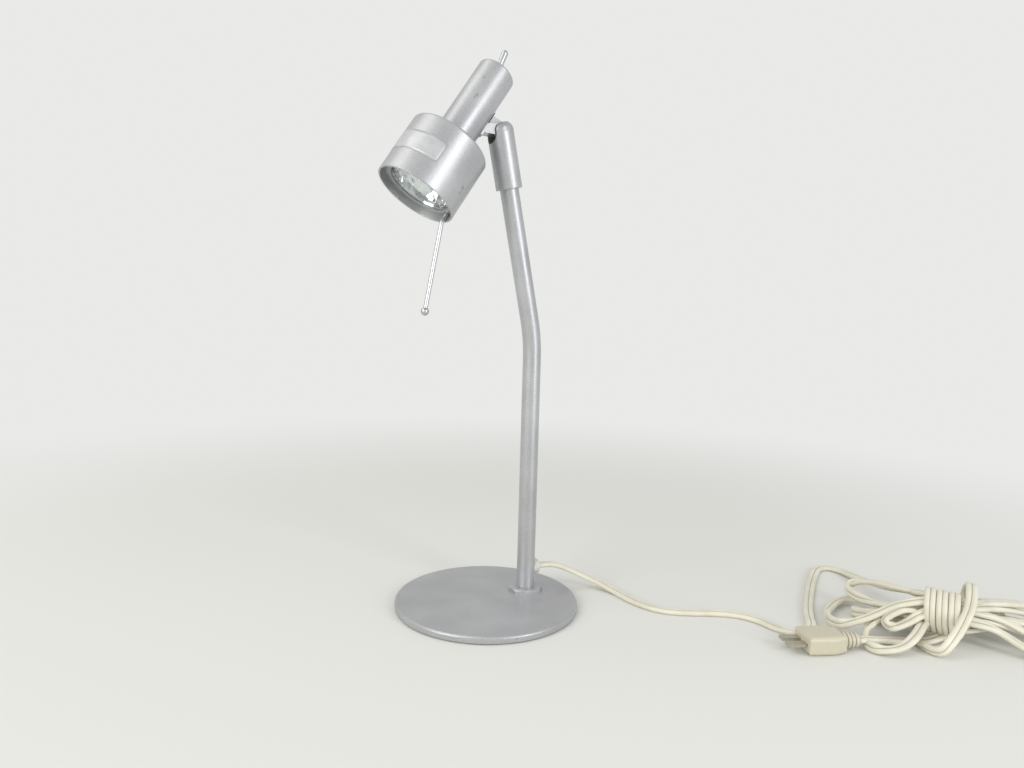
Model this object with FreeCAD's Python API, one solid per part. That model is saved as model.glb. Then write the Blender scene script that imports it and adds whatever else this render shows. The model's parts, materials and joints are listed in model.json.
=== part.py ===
import FreeCAD, Part
import math
import os

V = FreeCAD.Vector
os.makedirs("parts", exist_ok=True)

# Tabletop searchlight lamp, in millimetres. +Z is up, the origin is the middle of the base on the table,
# and the lamp stands in the plane X = 0 with the head towards -Y and the cord behind at +Y.

# Fits and gaps between pieces
running_fit = 0.05  # radial, sleeve on pole and pins in their holes
thread_gap = 0.08  # radial, between a thread and its nut
slip_gap = 0.1  # radial or flat, between fixed pieces that slide together
moving_gap = 0.35  # between pieces that move past each other

# Base
base_radius = 50.0
base_thickness = 3.8
base_edge_round = 1.4
base_lower_round = 0.5
pad_radius = 44.0
pad_thickness = 1.2
pad_proud = 0.4
pocket_radius = 9.4
clamped_plate = 2.2
pole_foot_y = 25.6

# Pole, a bent tube with a threaded foot
pole_radius = 5.0
pole_wall = 1.0
thread_depth = 0.15
foot_height = 0.9
thread_above_nut = 0.3
bend_height = 146.5
bend_radius = 100.0
lean = 12.5  # degrees that the upper pole leans towards the head
upper_pole_length = 101.0
groove_depth = 0.5
groove_width = 2.4

# Nuts and washer at the foot
pole_nut_flats = 18.0
pole_nut_sides = 8
pole_nut_height = 2.0
pole_nut_chamfer = 0.9
lock_nut_flats = 14.0
lock_nut_height = 1.4
washer_radius = 8.2
washer_thickness = 0.5

# Lead and its outlet behind the pole
lead_width = 5.3
lead_thickness = 2.7
outlet_height = 16.8
outlet_radius = 3.4
outlet_flange_radius = 4.1
outlet_flange_reach = 2.2

# Knuckle sleeve on the upper pole
pole_in_sleeve = 20.3
sleeve_start = upper_pole_length - pole_in_sleeve
sleeve_radius = 7.0
sleeve_length = 34.0
sleeve_dome_round = 4.5
sleeve_mouth_round = 0.3
bore_above_pole = 0.7
notch_half_width = 4.6
notch_floor = 23.7  # lowest point of the round notch floor above the sleeve's lower end
notch_back = 3.0  # behind the sleeve's axis
lead_passage_radius = 3.5
swivel_screw_height = 7.0
swivel_screw_radius = 1.5
swivel_tip_radius = 1.0

# Pivot of the head in the sleeve
pivot_height = 29.8
pivot_forward = 1.0  # in front of the sleeve's axis
pivot_pin_radius = 1.25
pivot_pin_sunk = 0.25
pivot_pin_inner_x = 2.4
cheek_outer_x = 3.75
cheek_thickness = 1.2
cheek_boss_radius = 3.0
pivot_washer_gap = 0.18
pivot_washer_radius = 2.7

# Head. Its own axis runs from the rim of the shade, at 0, back to the switch.
head_depression = 55.7  # degrees that the head looks below the level
pivot_behind_rim = 57.0
pivot_below_axis = 17.4
shade_radius = 21.1
shade_wall = 1.0
shade_length = 33.2
shade_round = 1.5
rim_round = 0.35
tube_radius = 9.95
tube_wall = 0.8
tube_length = 46.3
tube_round = 1.3

# Bush that joins the shade and the tube, and holds the socket
bush_flange_radius = 12.5
bush_flange_thickness = 1.6
bush_wall = 1.5
bush_web_place = 46.6
bush_web = 1.5
wire_hole_x = 4.4
wire_radius = 0.8

# Reflector lamp, 35 mm class
lamp_front = 5.0
lamp_rim_radius = 17.3
lamp_rim_depth = 2.5
lamp_shoulder_radius = 16.6
glass_thickness = 1.2
glass_radius = 16.6
reflector_wall = 1.1
reflector_depth = 19.0
neck_radius = 5.6
neck_length = 6.0
capsule_radius = 3.0
capsule_length = 13.0
lamp_base_width = 10.0
lamp_base_depth = 8.0
lamp_base_length = 6.3
pin_spacing = 4.0
pin_radius = 0.5
pin_length = 5.4

# Rings that hold the lamp
ring_thickness = 1.5
ring_bore = 16.2
ring_bead_radius = 18.6
ring_bead_height = 0.35
seat_thickness = 1.4
seat_lip = 0.5

# Socket
socket_width = 12.0
socket_depth = 8.0
socket_length = 9.6
socket_screw_radius = 1.0
socket_screw_head = 2.0
socket_screw_head_height = 1.2

# Toggle switch
switch_width = 12.8
switch_depth = 7.9
switch_length = 9.5
switch_to_wall = 5.2  # from the switch's case to the inner face of the tube's end
bushing_radius = 3.0
bushing_bore = 2.2
bushing_above = 2.0
switch_nut_flats = 8.0
switch_nut_height = 1.5
terminal_length = 4.0
terminal_width = 2.2
terminal_thickness = 0.6
terminal_spacing = 4.7
lever_length = 13.3
lever_foot_radius = 1.35
lever_tip_radius = 1.75
lever_lean = 11.5  # degrees each side of the head's axis
lever_ball_radius = 1.9
lever_tail = 4.0

# Bracket under the tube
bracket_front = 47.4
bracket_rear = 52.8
saddle_thickness = 1.0
bracket_web_share = 0.55
saddle_front = 46.8
bracket_screw_place = 50.1
bracket_screw_x = 2.2
bracket_screw_radius = 0.8
bracket_screw_head = 1.2
bracket_screw_head_height = 0.8

# Flat lead across the knuckle and its edging in the tube
slot_front = 54.0
slot_rear = 61.0
slot_half_width = 1.8
edging_wall = 0.5
edging_proud = 0.5
ribbon_thickness = 2.2
ribbon_inside = 2.2
ribbon_rear_top = 33.0  # where its edges leave the sleeve
ribbon_front_top = 27.5

# Aiming rod
rod_radius = 1.15
rod_place = 18.65
rod_turn_ahead = 1.2  # the bend lies this far in front of the rim
rod_bend_radius = 6.0
rod_angle = 23.5
rod_reach = 45.8
rod_ball_radius = 2.1
rod_tip_radius = 0.85
rod_block_width = 7.0
rod_block_depth = 7.2
rod_block_length = 9.0
rod_in_block = 7.0
block_screw_radius = 1.0
block_screw_head = 1.9
block_screw_head_height = 1.1
block_screw_length = 6.0
block_screw_below_axis = 15.0

# Cord on the table
cord_radius = 2.05
cord_floor = 2.1

# Hank: its own line is turned from X by hank_turn, and its bundle is turned from X by bundle_turn
hank_turn = 57.86
bundle_turn = 22.0
bundle_along = 235.5
bundle_near = 30.0
bundle_height = 14.5
bundle_radius = 11.75
bundle_length = 19.0
fold_top = 22.0  # beside the bundle, from where the folds fall towards their ends
left_fold_end = 7.5
right_fold_end = 9.0

# Plug
plug_x = 121.9
plug_y = 108.8
plug_turn = 63.5
plug_length = 20.0
plug_width = 16.0
plug_thickness = 9.4
plug_neck_width = 11.5
plug_round = 2.2
relief_length = 8.6
relief_radius = 4.1
relief_end_radius = 3.4
relief_rings = 4
relief_groove = 0.7
blade_length = 9.5
blade_sunk = 4.0
blade_width = 4.2
blade_thickness = 1.4
blade_spacing = 7.0


def rod_z(radius, z0, z1, x=0.0, y=0.0):
    return Part.makeCylinder(radius, z1 - z0, V(x, y, z0))


def box(x0, x1, y0, y1, z0, z1):
    return Part.makeBox(x1 - x0, y1 - y0, z1 - z0, V(x0, y0, z0))


def ring_z(outer, inner, z0, z1):
    return rod_z(outer, z0, z1).cut(rod_z(inner, z0 - 1, z1 + 1))


def face_of(points):
    return Part.Face(Part.makePolygon([V(*p) for p in points + points[:1]]))


def turned(profile):
    """Solid turned about Z from points (radius, z); a third value makes an arc through that middle point."""
    edges, last = [], profile[0]
    for point in profile[1:] + profile[:1]:
        a, b = V(last[0], 0, last[1]), V(point[0], 0, point[1])
        if len(point) == 4:
            edges.append(Part.Arc(a, V(point[2], 0, point[3]), b).toShape())
        elif a.distanceToPoint(b) > 1e-6:
            edges.append(Part.LineSegment(a, b).toShape())
        last = point
    return Part.Face(Part.Wire(edges)).revolve(V(0, 0, 0), V(0, 0, 1), 360)


def prism(sides, flats, z0, z1, turn=0.0):
    """Upright prism with its flats this far apart; its first flat faces +X."""
    corner = flats / 2 / math.cos(math.pi / sides)
    steps = [turn + math.pi * (2 * k + 1) / sides for k in range(sides)]
    points = [(corner * math.cos(s), corner * math.sin(s), z0) for s in steps]
    return face_of(points).extrude(V(0, 0, z1 - z0))


def edges_at(shape, z, tolerance=0.01):
    return [e for e in shape.Edges if abs(e.BoundBox.ZMin - z) < tolerance and abs(e.BoundBox.ZMax - z) < tolerance]


def stadium(width, thickness, z0, z1):
    """Flat lead's section along Z: two half rounds joined by flats, wide along X."""
    half = (width - thickness) / 2
    body = box(-half, half, -thickness / 2, thickness / 2, z0, z1)
    return body.fuse([rod_z(thickness / 2, z0, z1, x=side * half) for side in (-1, 1)]).removeSplitter()


def rounded_path(points, radii=None):
    """Straight runs joined by tangent arcs; each arc takes 0.45 of its shorter run unless a radius is given."""
    points = [V(*p) for p in points]
    edges, start, found = [], points[0], []
    for k in range(1, len(points) - 1):
        before, after = points[k] - points[k - 1], points[k + 1] - points[k]
        turn = before.getAngle(after)
        cut = 0.45 * min(before.Length, after.Length)
        if radii:
            cut = radii * math.tan(turn / 2)
        found.append(cut / math.tan(turn / 2))
        a = points[k] - before.normalize() * cut
        b = points[k] + after.normalize() * cut
        out = (a + b) * 0.5 - points[k]
        middle = points[k] + out.normalize() * (found[-1] / math.cos(turn / 2) - found[-1])
        edges += [Part.LineSegment(start, a).toShape(), Part.Arc(a, middle, b).toShape()]
        start = b
    edges.append(Part.LineSegment(start, points[-1]).toShape())
    return Part.Wire(edges), found


def pipe(points, radius, radii=None):
    path, found = rounded_path(points, radii)
    first = V(*points[1]) - V(*points[0])
    ring = Part.Wire(Part.makeCircle(radius, V(*points[0]), first))
    return path.makePipeShell([ring], True, False), path.Length, found


def in_sleeve(shape):
    """From the sleeve's own frame, Z along the upper pole from the sleeve's lower end and -Y to the head."""
    shape = shape.copy()
    shape.translate(V(0, 0, sleeve_start))
    shape.rotate(V(0, 0, 0), V(1, 0, 0), lean)
    shape.translate(V(0, pole_foot_y, bend_height))
    return shape


def from_rim(x, below, behind):
    """Way from the rim's middle to a point across, below the head's axis and behind the rim."""
    tip = math.radians(90 - head_depression)
    return V(x, below * math.cos(tip) + behind * math.sin(tip), behind * math.cos(tip) - below * math.sin(tip))


def in_head(shape):
    """From the head's own frame: Z back along its axis from the rim, Y on the pole's side."""
    shape = shape.copy()
    shape.rotate(V(0, 0, 0), V(1, 0, 0), head_depression - 90)
    shape.translate(head_origin)
    return shape


across = V(1, 0, 0)
leaning = math.radians(lean)
pole_way = V(0, -math.sin(leaning), math.cos(leaning))
pole_front = V(0, -math.cos(leaning), -math.sin(leaning))
bend_point = V(0, pole_foot_y, bend_height)
pivot_point = bend_point + pole_way * (sleeve_start + pivot_height) + pole_front * pivot_forward
head_origin = pivot_point - from_rim(0, pivot_below_axis, pivot_behind_rim)

parts = {}

# Base: disc, pad, and what clamps the pole to it
base_top = pad_proud + base_thickness
pocket_roof = base_top - clamped_plate
disc = rod_z(base_radius, pad_proud, base_top)
disc = disc.makeFillet(base_edge_round, edges_at(disc, base_top))
disc = disc.makeFillet(base_lower_round, edges_at(disc, pad_proud))
disc = disc.cut(rod_z(pad_radius + slip_gap, 0, pad_thickness))
disc = disc.cut(rod_z(pocket_radius, 0, pocket_roof, y=pole_foot_y))
thread_radius = pole_radius - thread_depth
disc = disc.cut(rod_z(pole_radius + thread_gap, 0, base_top + 1, y=pole_foot_y))
parts["base_disc"] = disc
pad = rod_z(pad_radius, 0, pad_thickness)
parts["base_pad"] = pad.cut(rod_z(pocket_radius, -1, pad_thickness + 1, y=pole_foot_y))


def at_foot(shape):
    shape.translate(V(0, pole_foot_y, 0))
    return shape


nut = prism(pole_nut_sides, pole_nut_flats, base_top, base_top + pole_nut_height)
cone_foot = pole_nut_flats / 2 / math.cos(math.pi / pole_nut_sides) + pole_nut_height - pole_nut_chamfer
nut = nut.common(Part.makeCone(cone_foot, cone_foot - pole_nut_height, pole_nut_height, V(0, 0, base_top)))
nut_bore = thread_radius + thread_gap
parts["pole_nut"] = at_foot(nut.cut(rod_z(nut_bore, 0, base_top + pole_nut_height + 1)))
washer_floor = pocket_roof - washer_thickness
parts["foot_washer"] = at_foot(ring_z(washer_radius, nut_bore, washer_floor, pocket_roof))
lock_nut = prism(6, lock_nut_flats, washer_floor - lock_nut_height, washer_floor)
parts["lock_nut"] = at_foot(lock_nut.cut(rod_z(nut_bore, 0, base_top)))


def pole_solid(radius, z0, top):
    """Round bar along the pole's line from height z0 to this far above the bend."""
    tangent = bend_radius * math.tan(leaning / 2)
    lower = rod_z(radius, z0, bend_height - tangent, y=pole_foot_y)
    ring = Part.makeCircle(radius, V(0, pole_foot_y, bend_height - tangent), V(0, 0, 1))
    centre = V(0, pole_foot_y - bend_radius, bend_height - tangent)
    bend = Part.Face(Part.Wire(ring)).revolve(centre, V(1, 0, 0), lean)
    upper = Part.makeCylinder(radius, top - tangent, bend_point + pole_way * tangent, pole_way)
    return lower.fuse([bend, upper]).removeSplitter()


thread_top = base_top + pole_nut_height + thread_above_nut
pole = pole_solid(pole_radius, foot_height, upper_pole_length)
pole = pole.cut(pole_solid(pole_radius - pole_wall, foot_height - 1, upper_pole_length + 1))
thread_waste = ring_z(pole_radius + 1, thread_radius, foot_height - 1, thread_top)
pole = pole.cut(at_foot(thread_waste))
groove = ring_z(pole_radius + 1, pole_radius - groove_depth, swivel_screw_height - groove_width / 2,
                swivel_screw_height + groove_width / 2)
pole = pole.cut(in_sleeve(groove))
outlet_hole = Part.makeCylinder(outlet_radius, pole_radius + 2, V(0, pole_foot_y, outlet_height), V(0, 1, 0))
parts["pole"] = pole.cut(outlet_hole)

# Outlet bush behind the pole and the flat lead inside the pole
outlet_end = pole_foot_y + pole_radius + outlet_flange_reach
inner_wall = pole_radius - pole_wall
bush_start = pole_foot_y + inner_wall * 0.9
bush = Part.makeCylinder(outlet_radius - slip_gap, outlet_end - bush_start, V(0, bush_start, outlet_height),
                         V(0, 1, 0))
flange = Part.makeCylinder(outlet_flange_radius, outlet_end - pole_foot_y, V(0, pole_foot_y, outlet_height),
                           V(0, 1, 0))
flange = flange.cut(rod_z(pole_radius + slip_gap, 0, bend_height, y=pole_foot_y))
bush = bush.fuse(flange)


def lead_along_y(width, thickness, y0, y1):
    bar = stadium(width, thickness, y0, y1)
    bar.rotate(V(0, 0, 0), V(1, 0, 0), -90)
    bar.translate(V(0, 0, outlet_height))
    return bar


parts["cord_outlet"] = bush.cut(lead_along_y(lead_width + slip_gap, lead_thickness + slip_gap, 0, outlet_end + 1))
lead = lead_along_y(lead_width, lead_thickness, pole_foot_y, outlet_end)
lead_up = stadium(lead_width, lead_thickness, outlet_height - lead_thickness / 2, bend_height)
upper_lead = stadium(lead_width, lead_thickness, -lead_thickness / 2, upper_pole_length)
upper_lead.rotate(V(0, 0, 0), V(1, 0, 0), lean)
upper_lead.translate(V(0, 0, bend_height))
parts["pole_lead"] = lead.fuse([at_foot(lead_up), at_foot(upper_lead)]).removeSplitter()

# Knuckle sleeve: turned bar with a round notch through its domed top and front
sleeve = rod_z(sleeve_radius, 0, sleeve_length)
sleeve = sleeve.makeFillet(sleeve_dome_round, edges_at(sleeve, sleeve_length))
sleeve = sleeve.makeFillet(sleeve_mouth_round, edges_at(sleeve, 0))
sleeve = sleeve.cut(rod_z(pole_radius + running_fit, -1, pole_in_sleeve + bore_above_pole))
notch_centre = notch_floor + notch_half_width
notch = box(-notch_half_width, notch_half_width, -sleeve_radius - 1, notch_back, notch_centre, sleeve_length + 1)
notch = notch.fuse(Part.makeCylinder(notch_half_width, sleeve_radius + 1 + notch_back,
                                     V(0, -sleeve_radius - 1, notch_centre), V(0, 1, 0)))
sleeve = sleeve.cut(notch).cut(rod_z(lead_passage_radius, pole_in_sleeve, notch_centre))
for side in (-1, 1):
    hole = Part.makeCylinder(pivot_pin_radius + running_fit, sleeve_radius, V(0, -pivot_forward, pivot_height),
                             across * side)
    sleeve = sleeve.cut(hole)
screw_hole = Part.makeCylinder(swivel_screw_radius + thread_gap, sleeve_radius + 1, V(0, 0, swivel_screw_height),
                               V(0, 1, 0))
parts["knuckle_sleeve"] = in_sleeve(sleeve.cut(screw_hole))

# Grub screw whose tip runs in the pole's groove
tip_end = pole_radius - groove_depth + moving_gap / 3
shank_start = pole_radius + moving_gap / 2
swivel_screw = Part.makeCylinder(swivel_screw_radius, sleeve_radius - shank_start - pivot_pin_sunk,
                                 V(0, shank_start, swivel_screw_height), V(0, 1, 0))
tip = Part.makeCylinder(swivel_tip_radius, shank_start - tip_end, V(0, tip_end, swivel_screw_height), V(0, 1, 0))
socket_cut = prism(6, swivel_screw_radius, 0, 1)
socket_cut.rotate(V(0, 0, 0), V(1, 0, 0), -90)
socket_cut.translate(V(0, sleeve_radius - pivot_pin_sunk - 0.8, swivel_screw_height))
parts["swivel_screw"] = in_sleeve(swivel_screw.fuse(tip).cut(socket_cut).removeSplitter())

# Two stub pins and two washers at the pivot, leaving the middle free for the lead
pins, washers = [], []
pin_end = math.sqrt(sleeve_radius**2 - pivot_forward**2) - pivot_pin_sunk
washer_start, washer_end = cheek_outer_x + pivot_washer_gap, notch_half_width - pivot_washer_gap
for side in (-1, 1):
    start = V(side * pivot_pin_inner_x, -pivot_forward, pivot_height)
    pins.append(Part.makeCylinder(pivot_pin_radius, pin_end - pivot_pin_inner_x, start, across * side))
    start = V(side * washer_start, -pivot_forward, pivot_height)
    washer = Part.makeCylinder(pivot_washer_radius, washer_end - washer_start, start, across * side)
    bore = Part.makeCylinder(pivot_pin_radius + running_fit, washer_end - washer_start, start, across * side)
    washers.append(washer.cut(bore).common(notch))
parts["pivot_pins"] = in_sleeve(Part.makeCompound(pins))
parts["pivot_washers"] = in_sleeve(Part.makeCompound(washers))

# Shade: spun drum, open at the rim
shade_end = shade_length - shade_wall
drum = rod_z(shade_radius, 0, shade_length)
drum = drum.makeFillet(shade_round, edges_at(drum, shade_length))
hollow = rod_z(shade_radius - shade_wall, -1, shade_end)
hollow = hollow.makeFillet(shade_round - shade_wall, edges_at(hollow, shade_end))
bush_radius = tube_radius - tube_wall - slip_gap
shade = drum.cut(hollow).cut(rod_z(bush_radius + slip_gap, 0, shade_length + 1))
shade = shade.makeFillet(rim_round, edges_at(shade, 0))
block_screw_line = dict(x=0, y=block_screw_below_axis)
screw_way = rod_z(block_screw_radius + slip_gap, shade_end - 1, shade_length + 1, **block_screw_line)
parts["shade"] = in_head(shade.cut(screw_way))

# Rear tube with a closed, rounded end
tube_end = shade_length + tube_length
inner_end = tube_end - tube_wall
tube = rod_z(tube_radius, shade_length, tube_end)
tube = tube.makeFillet(tube_round, edges_at(tube, tube_end))
bore = rod_z(tube_radius - tube_wall, shade_length - 1, inner_end)
bore = bore.makeFillet(tube_round - tube_wall, edges_at(bore, inner_end))
tube = tube.cut(bore).cut(rod_z(bushing_radius + thread_gap, inner_end - 1, tube_end + 1))
slot = box(-slot_half_width, slot_half_width, 0, tube_radius + 1, slot_front, slot_rear)
tube = tube.cut(slot)
for side in (-1, 1):
    tube = tube.cut(Part.makeCylinder(bracket_screw_radius + slip_gap, tube_radius + 1,
                                      V(side * bracket_screw_x, 0, bracket_screw_place), V(0, 1, 0)))
parts["rear_tube"] = in_head(tube)

# Joining bush between them, with a web that carries the socket
web_end = bush_web_place + bush_web
flange_start = shade_end - bush_flange_thickness
bush = rod_z(bush_radius, flange_start, web_end).fuse(rod_z(bush_flange_radius, flange_start, shade_end))
bush = bush.cut(rod_z(bush_radius - bush_wall, flange_start - 1, bush_web_place))
bush = bush.cut(rod_z(socket_screw_radius + slip_gap, bush_web_place - 1, web_end + 1))
for side in (-1, 1):
    bush = bush.cut(rod_z(wire_radius + slip_gap, bush_web_place - 1, web_end + 1, x=side * wire_hole_x))
parts["joining_bush"] = in_head(bush)

# Socket, its screw and the lamp's pins
socket_end = bush_web_place - slip_gap
socket_start = socket_end - socket_length
lamp_base_end = lamp_front + reflector_depth + neck_length + lamp_base_length
socket = box(-socket_width / 2, socket_width / 2, -socket_depth / 2, socket_depth / 2, socket_start, socket_end)
socket = socket.cut(rod_z(socket_screw_radius, socket_end - socket_length / 3, socket_end + 1))
lamp_pins = []
for side in (-1, 1):
    socket = socket.cut(rod_z(pin_radius + slip_gap, socket_start - 1, lamp_base_end + pin_length + slip_gap,
                              x=side * pin_spacing / 2))
    lamp_pins.append(rod_z(pin_radius, lamp_base_end, lamp_base_end + pin_length, x=side * pin_spacing / 2))
parts["lamp_socket"] = in_head(socket)
parts["lamp_pins"] = in_head(Part.makeCompound(lamp_pins))
screw = rod_z(socket_screw_radius, socket_end - socket_length / 3, web_end)
screw = screw.fuse(rod_z(socket_screw_head, web_end, web_end + socket_screw_head_height))
parts["socket_screw"] = in_head(screw.removeSplitter())

# Reflector lamp: pressed glass bowl, front glass, capsule and ceramic base
bowl_end = lamp_front + reflector_depth
neck_end = bowl_end + neck_length
rim_back = lamp_front + lamp_rim_depth
step = lamp_front + glass_thickness + slip_gap
throat = neck_radius - reflector_wall
bowl_middle = (lamp_shoulder_radius * 0.78, rim_back + (bowl_end - rim_back) * 0.46)
inner_lip = glass_radius - reflector_wall
bowl = turned([
    (glass_radius + slip_gap, lamp_front), (lamp_rim_radius, lamp_front), (lamp_rim_radius, rim_back),
    (lamp_shoulder_radius, rim_back), (neck_radius, bowl_end) + bowl_middle, (neck_radius, neck_end),
    (throat, neck_end), (throat, bowl_end - reflector_wall / 2),
    (inner_lip, step, bowl_middle[0] - reflector_wall, bowl_middle[1] - reflector_wall),
    (glass_radius + slip_gap, step),
])
parts["lamp_reflector"] = in_head(bowl)
parts["lamp_glass"] = in_head(rod_z(glass_radius, lamp_front + slip_gap / 2, lamp_front + glass_thickness))
capsule_end = bowl_end - slip_gap
capsule = rod_z(capsule_radius, capsule_end - capsule_length + capsule_radius, capsule_end)
capsule = capsule.fuse(Part.makeSphere(capsule_radius, V(0, 0, capsule_end - capsule_length + capsule_radius)))
parts["lamp_capsule"] = in_head(capsule.removeSplitter())
lamp_base = box(-lamp_base_width / 2, lamp_base_width / 2, -lamp_base_depth / 2, lamp_base_depth / 2,
                neck_end + slip_gap, lamp_base_end)
lamp_base = lamp_base.fuse(rod_z(throat - slip_gap, bowl_end, neck_end + slip_gap * 2))
parts["lamp_base"] = in_head(lamp_base.removeSplitter())

# Retaining ring in front of the lamp, and the seat behind its rim
ring_outer = shade_radius - shade_wall - slip_gap
ring_back = lamp_front - slip_gap / 2
ring_front = ring_back - ring_thickness
ring = turned([
    (ring_bore, ring_back), (ring_bore, ring_front + ring_bead_height), (ring_bore + ring_bead_height, ring_front),
    (ring_bead_radius - ring_bead_height, ring_front), (ring_bead_radius, ring_front + ring_bead_height),
    (ring_outer, ring_front + ring_bead_height), (ring_outer, ring_back),
])
rod_way = rod_z(rod_radius + moving_gap, 0, shade_end, y=rod_place)
parts["retaining_ring"] = in_head(ring.cut(rod_way))
seat_start = rim_back + slip_gap / 2
seat = ring_z(ring_outer, lamp_rim_radius - seat_lip, seat_start, seat_start + seat_thickness)
parts["lamp_seat"] = in_head(seat.cut(rod_way))

# Aiming rod with its ball, held in a block at the back of the shade
block_start = shade_end - rod_block_length
block = box(-rod_block_width / 2, rod_block_width / 2, shade_radius - shade_wall - rod_block_depth, shade_radius,
            block_start, shade_end).common(hollow)
block = block.cut(rod_z(rod_radius + running_fit, block_start - 1, block_start + rod_in_block + slip_gap,
                        y=rod_place))
block_screw_tip = shade_length - block_screw_length
block = block.cut(rod_z(block_screw_radius + thread_gap, block_screw_tip, shade_length, **block_screw_line))
parts["rod_block"] = in_head(block)
screw = rod_z(block_screw_radius, block_screw_tip, shade_length, **block_screw_line)
head = rod_z(block_screw_head, shade_length, shade_length + block_screw_head_height, **block_screw_line)
parts["rod_block_screw"] = in_head(screw.fuse(head).removeSplitter())
angle = math.radians(rod_angle)
turn_point = V(0, rod_place, -rod_turn_ahead)
way = V(0, math.sin(angle), -math.cos(angle))
ball_centre = turn_point + way * rod_reach
rod_end = ball_centre - way * rod_ball_radius * 0.8
rod_points = [(0, rod_place, block_start + rod_in_block), tuple(turn_point), tuple(rod_end)]
rod_body, _, _ = pipe(rod_points, rod_radius, rod_bend_radius)
rod_tip = Part.makeCylinder(rod_tip_radius, rod_ball_radius, rod_end, way)
parts["aiming_rod"] = in_head(rod_body.fuse(rod_tip).removeSplitter())
ball = Part.makeSphere(rod_ball_radius, ball_centre)
ball = ball.cut(Part.makeCylinder(rod_radius + running_fit, rod_ball_radius, rod_end - way * rod_ball_radius, way))
ball = ball.cut(Part.makeCylinder(rod_tip_radius + running_fit, rod_ball_radius + slip_gap, rod_end, way))
parts["rod_ball"] = in_head(ball)

# Toggle switch in the end of the tube
case_end = inner_end - switch_to_wall
case_start = case_end - switch_length
case = box(-switch_width / 2, switch_width / 2, -switch_depth / 2, switch_depth / 2, case_start, case_end)
terminals = [box(x - terminal_width / 2, x + terminal_width / 2, -terminal_thickness / 2, terminal_thickness / 2,
                 case_start - terminal_length, case_start) for x in (-terminal_spacing, 0, terminal_spacing)]
bushing_end = tube_end + bushing_above
lever_pivot = tube_end - tube_wall / 2
parts["switch_case"] = in_head(case)
parts["switch_terminals"] = in_head(Part.makeCompound(terminals))
parts["switch_bushing"] = in_head(ring_z(bushing_radius, bushing_bore, case_end, bushing_end))
nut = prism(6, switch_nut_flats, tube_end, tube_end + switch_nut_height)
parts["switch_nut"] = in_head(nut.cut(rod_z(bushing_radius + thread_gap, tube_end - 1, bushing_end)))
lever_top = lever_length - lever_tip_radius
lever = Part.makeCone(lever_foot_radius, lever_tip_radius, lever_top)
lever = lever.fuse([Part.makeSphere(lever_tip_radius, V(0, 0, lever_top)), Part.makeSphere(lever_ball_radius),
                    rod_z(lever_foot_radius * 0.7, -lever_tail, 0)]).removeSplitter()
lever.rotate(V(0, 0, 0), V(1, 0, 0), lever_lean)
lever.translate(V(0, 0, lever_pivot))
parts["toggle_lever"] = in_head(lever)

# Bracket: saddle on the tube and two cheeks to the pivot
pivot_in_head = V(0, pivot_below_axis, pivot_behind_rim)
saddle_face = math.sqrt(tube_radius**2 - cheek_outer_x**2) - 1
arm = pivot_in_head - V(0, saddle_face, (bracket_front + bracket_rear) / 2)
flank = V(0, -arm.z, arm.y).normalize() * cheek_boss_radius
corners = [(0, saddle_face, bracket_front), (0, saddle_face, bracket_rear),
           tuple(pivot_in_head + flank), tuple(pivot_in_head - flank)]
cheek = face_of(corners).extrude(V(cheek_thickness, 0, 0))
cheek = cheek.fuse(Part.makeCylinder(cheek_boss_radius, cheek_thickness, pivot_in_head, across))
cheek = cheek.cut(Part.makeCylinder(pivot_pin_radius + running_fit, cheek_thickness, pivot_in_head, across))
bracket = []
for place in (-cheek_outer_x, cheek_outer_x - cheek_thickness):
    copy = cheek.copy()
    copy.translate(V(place, 0, 0))
    bracket.append(copy)
under_start, under_end = V(*corners[0]), V(*corners[3])
under_end = under_start + (under_end - under_start) * bracket_web_share
web_rise = V(0, arm.z, -arm.y).normalize() * -saddle_thickness
web = face_of([tuple(under_start), tuple(under_end), tuple(under_end + web_rise), tuple(under_start + web_rise)])
web = web.extrude(V(2 * cheek_outer_x, 0, 0))
web.translate(V(-cheek_outer_x, 0, 0))
saddle = ring_z(tube_radius + saddle_thickness, tube_radius, saddle_front, bracket_rear)
saddle = saddle.common(box(-cheek_outer_x, cheek_outer_x, 0, tube_radius * 2, saddle_front, bracket_rear))
bracket = bracket[0].fuse([bracket[1], web, saddle]).cut(rod_z(tube_radius, 0, tube_end)).removeSplitter()
screws = []
head_seat = math.sqrt((tube_radius - tube_wall)**2 - (bracket_screw_x + bracket_screw_head)**2)
for side in (-1, 1):
    foot = V(side * bracket_screw_x, head_seat, bracket_screw_place)
    reach = tube_radius + saddle_thickness * 0.7 - head_seat
    bracket = bracket.cut(Part.makeCylinder(bracket_screw_radius, reach, foot, V(0, 1, 0)))
    head = Part.makeCylinder(bracket_screw_head, bracket_screw_head_height, foot, V(0, -1, 0))
    screws.append(Part.makeCylinder(bracket_screw_radius, reach, foot, V(0, 1, 0)).fuse(head).removeSplitter())
parts["head_bracket"] = in_head(bracket)
parts["bracket_screws"] = in_head(Part.makeCompound(screws))

# Edging of the tube's slot, and the flat lead from there down into the sleeve
lip = ring_z(tube_radius + edging_proud, tube_radius + 0.02, slot_front - edging_wall, slot_rear + edging_wall)
lip = lip.common(box(-slot_half_width - edging_wall, slot_half_width + edging_wall, 0, tube_radius * 2,
                     slot_front - edging_wall, slot_rear + edging_wall))
inset = box(-slot_half_width, slot_half_width, 0, tube_radius * 2, slot_front, slot_rear)
inset = inset.common(ring_z(tube_radius + edging_proud, tube_radius - tube_wall - edging_proud, slot_front,
                            slot_rear))
window = box(edging_wall - slot_half_width, slot_half_width - edging_wall, 0, tube_radius * 2,
             slot_front + edging_wall, slot_rear - edging_wall)
parts["slot_edging"] = in_head(lip.fuse(inset).cut(window).removeSplitter())


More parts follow.
